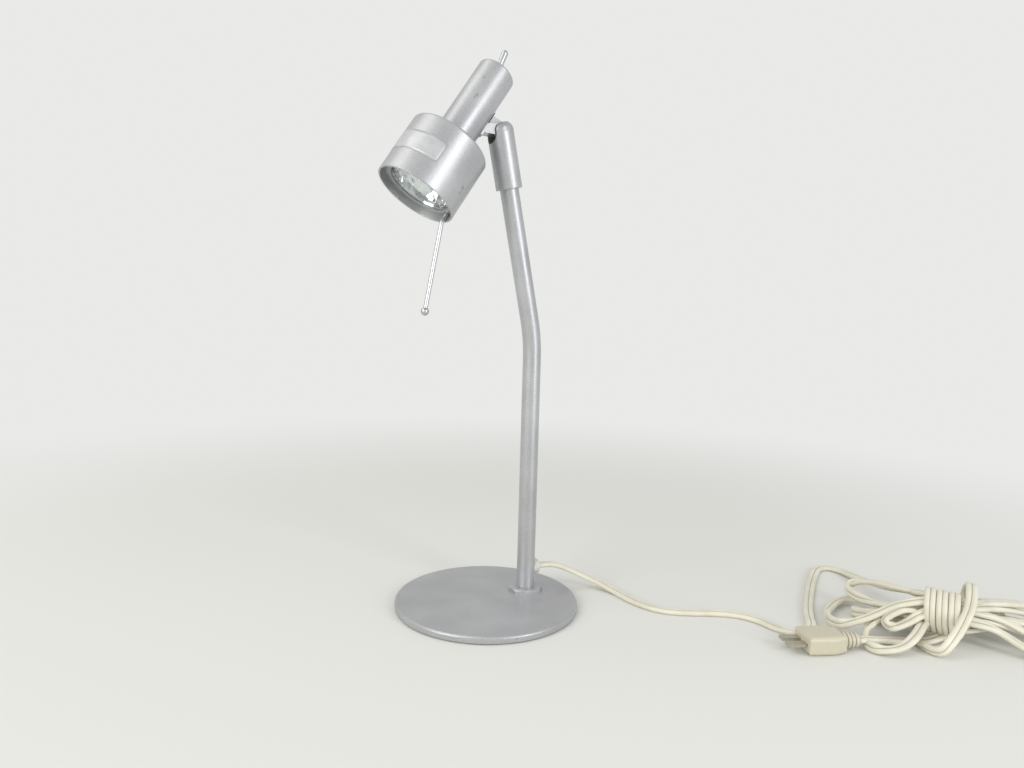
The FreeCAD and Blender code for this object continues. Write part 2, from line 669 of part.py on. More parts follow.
def sleeve_point(forward, up):
    return bend_point + pole_way * (sleeve_start + up) + pole_front * forward


inside = tube_radius - ribbon_inside
outside = tube_radius + edging_proud + slip_gap
ribbon_foot = pole_in_sleeve + moving_gap
ribbon_half = lead_passage_radius - moving_gap * 2
ribbon_rear = slot_rear - edging_wall - slip_gap
ribbon_front = slot_front + edging_wall + slip_gap
outline = [head_origin + from_rim(0, inside, ribbon_rear), head_origin + from_rim(0, outside, ribbon_rear),
           sleeve_point(-ribbon_half, ribbon_rear_top),
           sleeve_point(-ribbon_half, ribbon_foot), sleeve_point(ribbon_half, ribbon_foot),
           sleeve_point(ribbon_half, ribbon_front_top),
           head_origin + from_rim(0, outside, ribbon_front), head_origin + from_rim(0, inside, ribbon_front)]
ribbon = face_of([tuple(p) for p in outline]).extrude(V(ribbon_thickness, 0, 0))
ribbon.translate(V(-ribbon_thickness / 2, 0, 0))
parts["flat_lead"] = ribbon

# Wires inside the head
meet_y = inside - wire_radius
wire_end = case_start - terminal_length - wire_radius
wires = [
    [(-wire_hole_x, 0, socket_end), (-terminal_spacing, 0, wire_end)],
    [(wire_hole_x, 0, socket_end), (wire_hole_x, 0, web_end + 3), (0, meet_y, slot_front + 2)],
    [(0, meet_y, slot_rear - 2), (0, meet_y / 2, slot_rear - 1), (0, 0, wire_end)],
]
wires = [Part.makeCylinder(wire_radius, (V(*w[1]) - V(*w[0])).Length, V(*w[0]), V(*w[1]) - V(*w[0]))
         if len(w) == 2 else pipe(w, wire_radius)[0] for w in wires]
parts["head_wires"] = in_head(Part.makeCompound(wires))

# Cord: free stretch from the outlet to the hank, hank, free stretch to the plug
cord_route = [
    (0, outlet_end, outlet_height), (0, 41, outlet_height), (1, 51, 13.2), (4, 60.5, 8.2), (10.5, 69, 4.2),
    (21, 73.6, cord_floor), (34, 73.2, cord_floor), (46, 74.2, cord_floor), (56.5, 79, cord_floor),
    (64, 88.5, cord_floor), (71, 101, cord_floor), (79, 111, cord_floor), (90, 116, cord_floor),
    (101, 115.4, cord_floor), (109.3, 119.2, cord_floor), (112, 127.5, cord_floor), (108.8, 136, cord_floor),
    (101, 145, cord_floor), (89.5, 160.2, cord_floor), (69.7, 190, cord_floor), (60.8, 204.6, cord_floor),
    (54.5, 214.5, cord_floor), (56.5, 222.5, cord_floor), (65, 224, cord_floor), (74.5, 220.5, 3),
    (91, 211, 6), (112, 197, 11.5), (122, 189, 14.5),
]


def along_hank(t, v, z):
    """A point from its place along the hank's line, across it towards the plug, and up."""
    cos, sin = math.cos(math.radians(hank_turn)), math.sin(math.radians(hank_turn))
    return V(cos * t + sin * v, sin * t - cos * v, z)


def fan(outline, near_end, far_end, end_height):
    """The folds on one side of the bundle: their outline, falling from the bundle to their ends."""
    plan = face_of([tuple(along_hank(t, v, 0)) for t, v in outline]).extrude(V(0, 0, fold_top))
    slope = [(near_end, -100, 0), (far_end, -100, 0), (far_end, -100, end_height), (near_end, -100, fold_top)]
    wedge = face_of([tuple(along_hank(*p)) for p in slope]).extrude(along_hank(0, 200, 0))
    return plan.common(wedge)


left_outline = [(238, 4), (222, -9), (212, -22), (203, -21), (189, -5), (179.5, 10), (178.5, 24), (188, 33),
                (187.5, 49), (195, 53.5), (208, 52), (224, 46), (238, 44)]
right_outline = [(236, 12), (262, 3), (284, -3), (301, -2), (308, 18), (296, 42), (282, 59), (270, 58),
                 (236, 44)]
tie_route = [(255, 14, 12), (257, 14, 22), (249, 28, 28.5), (241, 41, 22.5), (232, 48.5, 12), (223, 51, 4),
             (216, 44, 2.1)]
bundle = Part.makeCylinder(bundle_radius, bundle_length, V(-bundle_length / 2, 0, 0), V(1, 0, 0))
bundle.rotate(V(0, 0, 0), V(0, 0, 1), bundle_turn)
bundle.translate(along_hank(bundle_along, bundle_near, bundle_height))
tie = pipe([tuple(along_hank(*p)) for p in tie_route], cord_radius)[0]
left_fan = fan(left_outline, 230, 178, left_fold_end)
right_fan = fan(right_outline, 244, 309, right_fold_end)
hank = bundle.fuse([left_fan, right_fan, tie]).removeSplitter()
cord, cord_length, radii = pipe(cord_route, cord_radius)
parts["cord_tube"] = cord.cut(hank)
parts["cord_hank"] = hank
print("cord radii", [round(r, 1) for r in radii], "length", round(cord_length, 1),
      "volume ratio", round(cord.Volume / (math.pi * cord_radius**2 * cord_length), 4))


def at_plug(shape):
    """From the plug's own frame: X from its blade face towards the cord, Z up from the table."""
    shape = shape.copy()
    shape.rotate(V(0, 0, 0), V(0, 0, 1), plug_turn)
    shape.translate(V(plug_x, plug_y, 0))
    return shape


half, neck = plug_width / 2, plug_neck_width / 2
shoulder = plug_length * 0.68
body = face_of([(0, -half, 0), (shoulder, -half, 0), (plug_length, -neck, 0), (plug_length, neck, 0),
                (shoulder, half, 0), (0, half, 0)]).extrude(V(0, 0, plug_thickness))
body = body.makeFillet(plug_round, [e for e in body.Edges if e.BoundBox.ZMin > plug_thickness / 2
                                    or e.BoundBox.ZMax < plug_thickness / 2])
middle = plug_thickness / 2
blades = []
for side in (-1, 1):
    y0 = side * blade_spacing / 2 - blade_width / 2
    blade = box(-blade_length, blade_sunk, y0, y0 + blade_width, middle - blade_thickness / 2,
                middle + blade_thickness / 2)
    body = body.cut(box(-1, blade_sunk, y0, y0 + blade_width, middle - blade_thickness / 2,
                        middle + blade_thickness / 2))
    blades.append(at_plug(blade))
parts["plug_body"] = at_plug(body)
parts["plug_blades"] = Part.makeCompound(blades)
pitch = relief_length / relief_rings
profile = [(0, 0)]
for k in range(relief_rings):
    r = relief_radius + (relief_end_radius - relief_radius) * k / (relief_rings - 1)
    profile += [(r, k * pitch), (r, (k + 0.62) * pitch), (r - relief_groove, (k + 0.62) * pitch),
                (r - relief_groove, (k + 1) * pitch)]
relief = turned(profile + [(0, relief_length)])
relief.rotate(V(0, 0, 0), V(0, 1, 0), 90)
relief.translate(V(plug_length, 0, middle))
parts["plug_relief"] = at_plug(relief)
out = V(math.cos(math.radians(plug_turn)), math.sin(math.radians(plug_turn)), 0)
lead_start = V(plug_x, plug_y, middle) + out * (plug_length + relief_length)
plug_route = [
    tuple(lead_start), tuple(lead_start + out * 8), (140.7, 152.6, 3.0), (143.8, 161.3, 2.6),
]
lead, lead_length, radii = pipe(plug_route, cord_radius)
parts["plug_lead"] = lead.cut(hank)
print("plug lead radii", [round(r, 1) for r in radii], "length", round(lead_length, 1),
      "volume ratio", round(lead.Volume / (math.pi * cord_radius**2 * lead_length), 4))

for name, shape in parts.items():
    if not shape.isValid() or not shape.Solids:
        print("look at", name, shape.isValid(), len(shape.Solids))
    shape.exportStep("parts/" + name + ".step")
print(len(parts), "nodes")
lever_point = head_origin + from_rim(0, 0, lever_pivot)
for name, point in (("pivot", pivot_point), ("rim", head_origin), ("lever pivot", lever_point)):
    print(name, [round(v, 3) for v in point])
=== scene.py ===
import json
import math
import bmesh
import bpy
from mathutils import Matrix, Vector

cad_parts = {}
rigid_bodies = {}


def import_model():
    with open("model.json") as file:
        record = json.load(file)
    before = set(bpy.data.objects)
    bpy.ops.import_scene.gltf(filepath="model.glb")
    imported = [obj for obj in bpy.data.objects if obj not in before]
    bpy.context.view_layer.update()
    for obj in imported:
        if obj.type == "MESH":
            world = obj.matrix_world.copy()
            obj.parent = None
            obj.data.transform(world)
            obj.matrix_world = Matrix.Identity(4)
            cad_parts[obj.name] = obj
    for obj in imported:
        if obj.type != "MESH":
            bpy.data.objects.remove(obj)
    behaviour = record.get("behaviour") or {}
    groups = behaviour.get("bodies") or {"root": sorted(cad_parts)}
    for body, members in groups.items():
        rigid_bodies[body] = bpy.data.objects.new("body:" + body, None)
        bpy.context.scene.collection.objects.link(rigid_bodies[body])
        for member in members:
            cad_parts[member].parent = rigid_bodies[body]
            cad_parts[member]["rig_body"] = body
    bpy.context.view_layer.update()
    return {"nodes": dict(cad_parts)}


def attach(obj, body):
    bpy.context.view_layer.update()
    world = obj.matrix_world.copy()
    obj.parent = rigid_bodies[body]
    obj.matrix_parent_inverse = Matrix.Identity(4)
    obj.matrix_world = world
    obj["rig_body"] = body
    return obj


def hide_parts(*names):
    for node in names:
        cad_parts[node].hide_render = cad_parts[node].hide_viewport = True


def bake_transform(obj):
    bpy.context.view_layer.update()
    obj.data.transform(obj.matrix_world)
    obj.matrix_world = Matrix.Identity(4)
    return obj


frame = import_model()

# The camera: a short lens close to the lamp, a little above its middle, looking slightly down.
camera_place = Vector((0.3395, -0.2002, 0.1643))
camera_azimuth = math.radians(57.86)
camera_down = math.radians(6.02)
camera_roll = math.radians(1.54)
lens_mm = 26.02
sensor_mm = 36.0


def view_matrix():
    """The camera's place and turn, from its azimuth, how far it looks down and its roll."""
    level = Vector((-math.sin(camera_azimuth), math.cos(camera_azimuth), 0))
    right = Vector((math.cos(camera_azimuth), math.sin(camera_azimuth), 0))
    forward = level * math.cos(camera_down) - Vector((0, 0, math.sin(camera_down)))
    above = right.cross(forward)
    rolled_right = right * math.cos(camera_roll) + above * math.sin(camera_roll)
    rolled_above = above * math.cos(camera_roll) - right * math.sin(camera_roll)
    turn = Matrix((rolled_right, rolled_above, -forward)).transposed().to_4x4()
    return Matrix.Translation(camera_place) @ turn


camera_data = bpy.data.cameras.new("camera")
camera_data.lens = lens_mm
camera_data.sensor_width = sensor_mm
camera_data.clip_start = 0.01
camera = bpy.data.objects.new("camera", camera_data)
camera.matrix_world = view_matrix()
bpy.context.scene.collection.objects.link(camera)
bpy.context.scene.camera = camera
bpy.context.scene.view_settings.view_transform = "Standard"


def linear(hex_colour):
    """An sRGB hex colour as linear red, green, blue and alpha."""
    shares = [int(hex_colour[i:i + 2], 16) / 255 for i in (0, 2, 4)]
    return [c / 12.92 if c <= 0.04045 else ((c + 0.055) / 1.055) ** 2.4 for c in shares] + [1.0]


def add(tree, kind, settings=None, inputs=None):
    """Adds a node to a tree, with its settings, and fills or links its inputs."""
    new = tree.nodes.new(kind)
    for name, value in (settings or {}).items():
        setattr(new, name, value)
    for name, value in (inputs or {}).items():
        if isinstance(value, bpy.types.NodeSocket):
            tree.links.new(value, new.inputs[name])
        else:
            new.inputs[name].default_value = value
    return new


def new_material(name, **sockets):
    """A material with its shader's own sockets set, and the shader and tree to add detail to."""
    material = bpy.data.materials.new(name)
    material.use_nodes = True
    shader = next(n for n in material.node_tree.nodes if n.type == "BSDF_PRINCIPLED")
    for socket, value in sockets.items():
        shader.inputs[socket.replace("_", " ")].default_value = value
    return material, shader, material.node_tree


def two_tone(tree, pattern, low, high, low_colour, high_colour):
    """The colour of a finish that goes from one tone to another as its pattern goes from low to high."""
    new = add(tree, "ShaderNodeValToRGB", None, {"Fac": pattern})
    new.color_ramp.elements[0].position = low
    new.color_ramp.elements[1].position = high
    new.color_ramp.elements[0].color = linear(low_colour)
    new.color_ramp.elements[1].color = linear(high_colour)
    return new.outputs["Color"]


def link(obj):
    """Puts an object into the scene."""
    bpy.context.scene.collection.objects.link(obj)
    return obj


# The studio: a wide sweep of matt white paper that runs on into an even white sky. Two soft boxes
# light it from the left, one low and one high, and a narrow one at the right draws the bright line
# down the lamp's round sides.
floor_radius = 9.0
floor_steps = 6
floor_segments = 96
sky_colour = "f7f8f6"
sky_lighting = 0.72
sky_seen = 0.88
paper_colour = "dededa"
paper_gloss = 0.3
sweep_starts = 0.2
sweep_ends = 0.75


def studio_floor():
    """A wide round floor, as one mesh."""
    form = bmesh.new()
    middle = form.verts.new((0, 0, 0))
    angles = [2 * math.pi * k / floor_segments for k in range(floor_segments)]
    rings = []
    for i in range(1, floor_steps + 1):
        radius = floor_radius * (i / floor_steps) ** 2
        rings.append([form.verts.new((radius * math.cos(a), radius * math.sin(a), 0)) for a in angles])
    for k in range(floor_segments):
        after = (k + 1) % floor_segments
        form.faces.new((middle, rings[0][k], rings[0][after]))
        for inner, outer in zip(rings, rings[1:]):
            form.faces.new((inner[k], outer[k], outer[after], inner[after]))
    mesh = bpy.data.meshes.new("studio_floor")
    form.to_mesh(mesh)
    form.free()
    return link(bpy.data.objects.new("studio_floor", mesh))


def matt_sweep():
    """Matt white paper: soft and even, lit by the studio near the lamp, as bright as the sky far from it."""
    material, shader, tree = new_material("matt_white_paper", Roughness=0.8)
    place = add(tree, "ShaderNodeTexCoord").outputs["Object"]
    away = add(tree, "ShaderNodeVectorMath", {"operation": "LENGTH"}, {0: place}).outputs["Value"]
    far = add(tree, "ShaderNodeMapRange", {"interpolation_type": "SMOOTHSTEP"}, {
        "Value": away, "From Min": sweep_starts, "From Max": sweep_ends, "To Max": 1.0}).outputs["Result"]
    fading = add(tree, "ShaderNodeMix", {"data_type": "RGBA"}, {"Factor": far})
    fading.inputs[6].default_value = linear(paper_colour)
    fading.inputs[7].default_value = linear("000000")
    tree.links.new(fading.outputs[2], shader.inputs["Base Color"])
    gloss = add(tree, "ShaderNodeMapRange", None, {"Value": far, "To Min": paper_gloss, "To Max": 0.0})
    tree.links.new(gloss.outputs["Result"], shader.inputs["Specular IOR Level"])
    shader.inputs["Emission Color"].default_value = linear(sky_colour)
    glow = add(tree, "ShaderNodeMath", {"operation": "MULTIPLY"}, {0: far, 1: sky_seen})
    tree.links.new(glow.outputs["Value"], shader.inputs["Emission Strength"])
    return material


floor = studio_floor()
floor.data.materials.append(matt_sweep())

world = bpy.data.worlds.new("studio")
world.use_nodes = True
sky = world.node_tree.nodes["Background"]
sky.inputs["Color"].default_value = linear(sky_colour)
seen = add(world.node_tree, "ShaderNodeLightPath").outputs["Is Camera Ray"]
strength = add(world.node_tree, "ShaderNodeMapRange", None, {
    "Value": seen, "To Min": sky_lighting, "To Max": sky_seen})
world.node_tree.links.new(strength.outputs["Result"], sky.inputs["Strength"])
bpy.context.scene.world = world


def soft_box(name, place, target, width, height, power, colour):
    """A rectangular studio light that faces a target."""
    data = bpy.data.lights.new(name, "AREA")
    data.shape = "RECTANGLE"
    data.size = width
    data.size_y = height
    data.energy = power
    data.color = linear(colour)[:3]
    light = link(bpy.data.objects.new(name, data))
    light.location = place
    light.rotation_euler = (Vector(target) - Vector(place)).to_track_quat("-Z", "Y").to_euler()


lamp_middle = (0, 0, 0.15)
soft_box("key_light", (0.3, -1.15, 0.6), lamp_middle, 0.8, 0.6, 7.0, "fffdf8")
soft_box("top_light", (-0.25, -0.65, 1.25), lamp_middle, 0.7, 0.7, 2.6, "fffdf8")
soft_box("side_light", (1.0, 0.29, 0.38), lamp_middle, 0.3, 0.7, 4.4, "fbfcff")

# The cord: a flat twin lead of ivory vinyl over two stranded wires, 2 m long. It leaves the
# pole's foot, lies on the table, and most of it is folded to and fro and tied with its own end.
lead_width = 0.0053
lead_thickness = 0.0027
on_floor = lead_thickness / 2
free_route = [
    (0, 0.0328, 0.0168), (0, 0.041, 0.0168), (0.001, 0.051, 0.0132), (0.004, 0.0605, 0.0082),
    (0.0105, 0.069, 0.0042), (0.021, 0.0736, on_floor), (0.034, 0.0732, on_floor),
    (0.046, 0.0742, on_floor), (0.0565, 0.079, on_floor), (0.064, 0.0885, on_floor),
    (0.071, 0.101, on_floor), (0.079, 0.111, on_floor), (0.090, 0.116, on_floor),
    (0.101, 0.1154, on_floor), (0.1093, 0.1192, on_floor), (0.112, 0.1275, on_floor),
    (0.1078, 0.136, on_floor), (0.0995, 0.1445, on_floor), (0.088, 0.1595, on_floor),
    (0.0685, 0.189, on_floor), (0.0598, 0.204, on_floor), (0.0542, 0.2145, on_floor),
    (0.0562, 0.2225, on_floor), (0.065, 0.224, 0.0018), (0.0745, 0.2205, 0.0026),
    (0.091, 0.211, 0.0058), (0.112, 0.197, 0.0115), (0.1285, 0.1845, 0.0185)]
# The hank's own direction, its tied bundle and the wraps round it
hank_turn = math.radians(57.86)
bundle_turn = math.radians(22)
bundle_middle = (0.2355, 0.030, 0.0145)
ring_seats = 8
middle_seat = 9
seat_radius = 0.0074
seat_start = math.radians(10)
layer = 0.00295
wrap_radius = 0.0104
wrap_pitch = 0.0054
wrap_count = 3
wrap_points = 12
wrap_shift = -0.0013
first_wrap = math.radians(-140)
seat_reach = 0.0085


def along(t, v, z):
    """A point from its place along the hank, towards the viewer and up."""
    cos, sin = math.cos(hank_turn), math.sin(hank_turn)
    return Vector((cos * t + sin * v, sin * t - cos * v, z))


bundle_centre = along(*bundle_middle)
bundle_axis = Vector((math.cos(bundle_turn), math.sin(bundle_turn), 0))
bundle_side = Vector((math.sin(bundle_turn), -math.cos(bundle_turn), 0))


def round_bundle(angle, radius, place):
    """A point on a circle round the bundle's axis, and the direction outwards there."""
    outwards = bundle_side * math.cos(angle) + Vector((0, 0, math.sin(angle)))
    return bundle_centre + bundle_axis * place + outwards * radius, outwards


def seat(number, place):
    """A pass of the cord through the bundle: eight in a ring, then three stacked inside."""
    if number < ring_seats:
        return round_bundle(2 * math.pi * number / ring_seats + seat_start, seat_radius, place)
    up = Vector((0, 0, 1))
    return bundle_centre + bundle_axis * place + up * layer * (number - middle_seat), up


# Each fold at the left, point by point in millimetres: along the hank, towards the viewer and up
left_folds = [
    [(219, 10, 20), (216, -3, 17.5), (213, -14, 13.5), (209, -19.5, 10.5), (205, -15, 8.5), (206, -5, 8.5),
     (209, 8, 10), (213, 15, 12)],
    [(219, 12, 9), (214, -5, 5), (208, -14, 3.5), (200, -12, 3), (190, -1, 3.5), (183.5, 11, 4),
     (181.5, 20, 4.5), (184, 26.5, 5.5), (191, 28.5, 8), (200, 29, 12), (211, 28, 17.5)],
    [(214, 18, 6), (208, 6, 4), (202.5, 1, 3), (201, 4.5, 3), (206, 12, 5.5), (213, 22, 10)],
    [(214, 31, 17), (207, 32, 14), (203, 32, 11), (204, 35, 8.5), (210, 36, 9)],
    [(213, 27, 14), (205, 27, 11), (199, 29, 8.5), (194, 33, 5.5), (190, 40, 3.2), (190, 47, 2.9),
     (197, 50, 2.8), (206, 48.5, 4.5), (214, 44, 9)]]
# Each turn at the right: the seat that it leaves, its direction in degrees, its reach, half width and
# height in millimetres, and the seat that it comes back to
right_turns = [
    (2, -24, 54, 5.5, 9, 3), (4, -14, 45, 7, 2.8, 5), (1, -4, 56, 6, 7, 6), (9, 14, 42, 5.5, 5, 8),
    (0, 44, 36, 6, 3, 10), (7, -36, 36, 6, 2.8, None)]
# Half of a turn's outline and then the other: the share of its reach, and of its half width
turn_outline = ((0.34, 0.5), (0.74, 1.0), (1.0, 0.62), (1.0, -0.62), (0.74, -1.0), (0.34, -0.5))
turn_fall = 1.3
turn_overlap = 0.0028
right_end = along(0.249, 0.027, 0)
tie_start = [(257, 10, 12), (257.5, 11, 20), (252.5, 21.5, 27.3), (246.5, 32, 28), (241, 41, 22.5),
             (234, 46.5, 15), (226.5, 50.5, 7.5), (221.5, 51.5, 2.9), (218, 45, 2.6), (217, 34, 1.9)]
lead_end = [(226, 36, 1.4), (213, 35.5, 1.5), (205, 36.5, 2), (198, 39.4, 3.4)]
plug_mouth = [Vector((0.1375, 0.1402, 0.0047)), Vector((0.13466, 0.1344, 0.0047))]
millimetre = 0.001


def hank_route():
    """The cord's points from the pole to the plug, each with the direction of its flat side."""
    up = Vector((0, 0, 1))
    route = [(Vector(p), up) for p in free_route]

    def through(number, rightwards):
        places = (-seat_reach, 0, seat_reach) if rightwards else (seat_reach, 0, -seat_reach)
        route.extend(seat(number, place) for place in places)

    for index, (number, turned, reach, half_width, height, back) in enumerate(right_turns):
        through(number, True)
        start = seat(number, seat_reach)[0].z
        finish = start if back is None else seat(back, seat_reach)[0].z
        heading = hank_turn - math.radians(turned)
        out = Vector((math.cos(heading), math.sin(heading), 0))
        across = Vector((-out.y, out.x, 0)) * (-1 if turned > 0 else 1)
        low = height * millimetre
        for share, width in turn_outline:
            end = start if width > 0 else finish
            sideways = across * half_width * width * millimetre
            point = right_end + out * reach * share * millimetre + sideways
            point.z = low + (end - low) * (1 - share) ** turn_fall + (turn_overlap if width < 0 else 0)
            route.append((point, up if share < 1 else out))
        if back is not None:
            through(back, False)
        if index < len(left_folds):
            points = left_folds[index]
            tip = min(range(len(points)), key=lambda k: points[k][0])
            for k, point in enumerate(points):
                flat = up if abs(k - tip) > 1 else -along(1, 0, 0)
                route.append((along(*point) * millimetre, flat))
    return route


def wrapped_end():
    """The cord's last stretch: over the bundle, three tight turns round it, and on to the plug."""
    up = Vector((0, 0, 1))
    route = []
    for t, v, z in tie_start:
        point = along(t, v, z) * millimetre
        outwards = point - bundle_centre
        outwards -= bundle_axis * outwards.dot(bundle_axis)
        route.append((point, outwards.normalized()))
    for k in range(wrap_count * wrap_points + 1):
        share = k / wrap_points
        angle = first_wrap - 2 * math.pi * share
        place = wrap_pitch * (share - wrap_count / 2) + wrap_shift
        route.append(round_bundle(angle, wrap_radius, place))
    route += [(along(*p) * millimetre, up) for p in lead_end]
    return route + [(p, up) for p in plug_mouth]


def cord_curve(points):
    """A smooth spline with these control points, made a plain line of points."""
    curve = bpy.data.curves.new("cord_line", "CURVE")
    curve.dimensions = "3D"
    curve.resolution_u = 8
    spline = curve.splines.new("NURBS")
    spline.points.add(len(points) - 1)
    for target, point in zip(spline.points, points):
        target.co = (*point, 1)
    spline.order_u = 3
    spline.use_endpoint_u = True
    holder = link(bpy.data.objects.new("cord_line", curve))
    line = bpy.data.meshes.new_from_object(holder)
    result = [v.co.copy() for v in line.vertices]
    bpy.data.objects.remove(holder)
    bpy.data.curves.remove(curve)
    bpy.data.meshes.remove(line)
    return result


flat_side_least = 0.2
flat_side_lag = 0.5


def flat_sides(route, line):
    """The direction of the cord's flat side at each point of its line."""
    sides = []
    last = None
    for j, point in enumerate(line):
        place = j / (len(line) - 1) * (len(route) - 2) + 0.5
        first = min(max(int(place), 0), len(route) - 2)
        share = min(max(place - first, 0), 1)
        near, far = route[first][1], route[first + 1][1]
        if near.dot(far) < 0:
            far = -far
        tangent = (line[min(j + 1, len(line) - 1)] - line[max(j - 1, 0)]).normalized()
        side = near.lerp(far, share)
        side -= tangent * side.dot(tangent)
        if side.length < flat_side_least and last:
            side = last - tangent * last.dot(tangent)
        side.normalize()
        if last and side.dot(last) < 0:
            side = -side
        if last:
            side = last * flat_side_lag + side * (1 - flat_side_lag)
            side = (side - tangent * side.dot(tangent)).normalized()
        sides.append(side)
        last = side
    return sides


groove_share = 0.62
lobe_steps = 9
lobe_start = -128
lobe_step = 32


def twin_profile():
    """The cord's section: two round lobes that meet in a shallow groove on each side. Each point carries a
    flag, 1 in the groove, which marks where the cord's material paints shade.
    """
    radius = lead_thickness / 2
    lobe = lead_width / 2 - radius
    half = []
    for k in range(lobe_steps):
        angle = math.radians(lobe_start + lobe_step * k)
        half.append((lobe + radius * math.cos(angle), radius * math.sin(angle), 0.0))
    groove = radius * groove_share
    return half + [(0.0, groove, 1.0)] + [(-x, -y, g) for x, y, g in half] + [(0.0, -groove, 1.0)]


def cord_mesh(line, sides):
    """Sweeps the twin section along the line and closes both ends."""
    form = bmesh.new()
    # The groove flag on each point, read by the cord's material to paint shade into the groove
    groove_shade_flag_layer = form.verts.layers.float.new("groove")
    profile = twin_profile()
    rings = []
    for j, point in enumerate(line):
        tangent = (line[min(j + 1, len(line) - 1)] - line[max(j - 1, 0)]).normalized()
        across = tangent.cross(sides[j]).normalized()
        ring = []
        for x, y, groove in profile:
            vert = form.verts.new(point + across * x + sides[j] * y)
            vert[groove_shade_flag_layer] = groove
            ring.append(vert)
        rings.append(ring)
    count = len(profile)
    for near, far in zip(rings, rings[1:]):
        for k in range(count):
            after = (k + 1) % count
            form.faces.new((near[k], near[after], far[after], far[k])).smooth = True
    form.faces.new(list(reversed(rings[0])))
    form.faces.new(rings[-1])
    bmesh.ops.recalc_face_normals(form, faces=form.faces)
    mesh = bpy.data.meshes.new("flat_twin_cord")
    form.to_mesh(mesh)
    form.free()
    return mesh


def ivory_vinyl():
    """Extruded ivory PVC: soft, satin, a little see-through, with painted shade that greys the groove between
    its wires.
    """
    material, shader, tree = new_material(
        "extruded_ivory_vinyl", Roughness=0.5, IOR=1.53, Subsurface_Weight=0.12, Subsurface_Scale=0.0012)
    shader.inputs["Subsurface Radius"].default_value = (1.0, 0.8, 0.55)
    place = add(tree, "ShaderNodeTexCoord").outputs["Object"]
    handled = add(tree, "ShaderNodeTexNoise", None, {"Vector": place, "Scale": 90.0, "Detail": 3.0})
    body = two_tone(tree, handled.outputs["Fac"], 0.35, 0.7, "d5d1bf", "e2decf")
    # Painted shade: the groove between the wires is greyed towards 8f8a77, as if shade fell in it.
    groove = add(tree, "ShaderNodeAttribute", {"attribute_name": "groove"}).outputs["Fac"]
    depth = add(tree, "ShaderNodeMapRange", None, {"Value": groove, "From Min": 0.25, "From Max": 1.0})
    colour = add(tree, "ShaderNodeMix", {"data_type": "RGBA"}, {"Factor": depth.outputs["Result"], 6: body})
    colour.inputs[7].default_value = linear("8f8a77")
    tree.links.new(colour.outputs[2], shader.inputs["Base Color"])
    skin = add(tree, "ShaderNodeTexNoise", None, {"Vector": place, "Scale": 1800.0, "Detail": 2.0})
    bump = add(tree, "ShaderNodeBump", None, {
        "Height": skin.outputs["Fac"], "Strength": 0.08, "Distance": 0.0002})
    tree.links.new(bump.outputs["Normal"], shader.inputs["Normal"])
    return material


route = hank_route() + wrapped_end()
cord_line = cord_curve([point for point, side in route])
cord = link(bpy.data.objects.new("flat_twin_cord", cord_mesh(cord_line, flat_sides(route, cord_line))))
cord.data.materials.append(ivory_vinyl())
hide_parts("cord_tube", "cord_hank", "plug_lead")
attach(cord, "stand")

# The silver-grey paint on base, pole, sleeve, shade and tube: sprayed over steel with fine metal
# flake, satin, a little rubbed and chipped at its edges.
smooth_within = math.radians(32)
weld = 2e-6


def dressed(material, slot_name, *names, crease=smooth_within):
    """Stands welded, smooth-shaded copies of CAD pieces in their place, with their real finish."""
    for name in names:
        node = frame["nodes"][name]
        mesh = node.data.copy()
        form = bmesh.new()
        form.from_mesh(mesh)
        bmesh.ops.remove_doubles(form, verts=form.verts, dist=weld)
        for face in form.faces:
            face.smooth = True
        for edge in form.edges:
            edge.smooth = edge.is_manifold and edge.calc_face_angle() < crease
        form.to_mesh(mesh)
        form.free()
        mesh.materials.clear()
        mesh.materials.append(material)
        piece = link(bpy.data.objects.new(name + "_finished", mesh))
        # A thin round piece has long faces, which would twist evened-out normals
        if crease == smooth_within:
            even = piece.modifiers.new("even_shading", "WEIGHTED_NORMAL")
            even.keep_sharp = True
        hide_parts(name)
        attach(piece, node["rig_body"])


def on_head(behind_rim, angle, radius):
    """A point on the head: behind the rim, turned from the lamp's left side towards its top, and out."""
    across = Vector((math.cos(angle), 0, 0)) + head_top * math.sin(angle)
    return rim_centre + head_back * behind_rim + across * radius


head_tip = math.radians(55.7)
head_back = Vector((0, math.cos(head_tip), math.sin(head_tip)))
head_top = Vector((0, -math.sin(head_tip), math.cos(head_tip)))
rim_centre = Vector((0, -0.045788, 0.216882))
shade_radius = 0.0211
tube_radius = 0.00995
# Each worn or chipped spot in the paint: where it is, and how far it reaches
worn_spots = [
    (on_head(0.0576, math.radians(28.5), tube_radius), 0.0010),
    (on_head(0.0560, math.radians(31), tube_radius), 0.0007),
    (on_head(0.0680, math.radians(40), tube_radius), 0.0008),
    (on_head(0.0123, math.radians(-35.5), shade_radius), 0.0014),
    (on_head(0.0095, math.radians(-37), shade_radius), 0.0010),
    (Vector((0.0461, 0.0202, 0.0038)), 0.0007), (Vector((0.0484, -0.0107, 0.0025)), 0.0008)]
worn_core = 0.4
worn_edge = 1.5


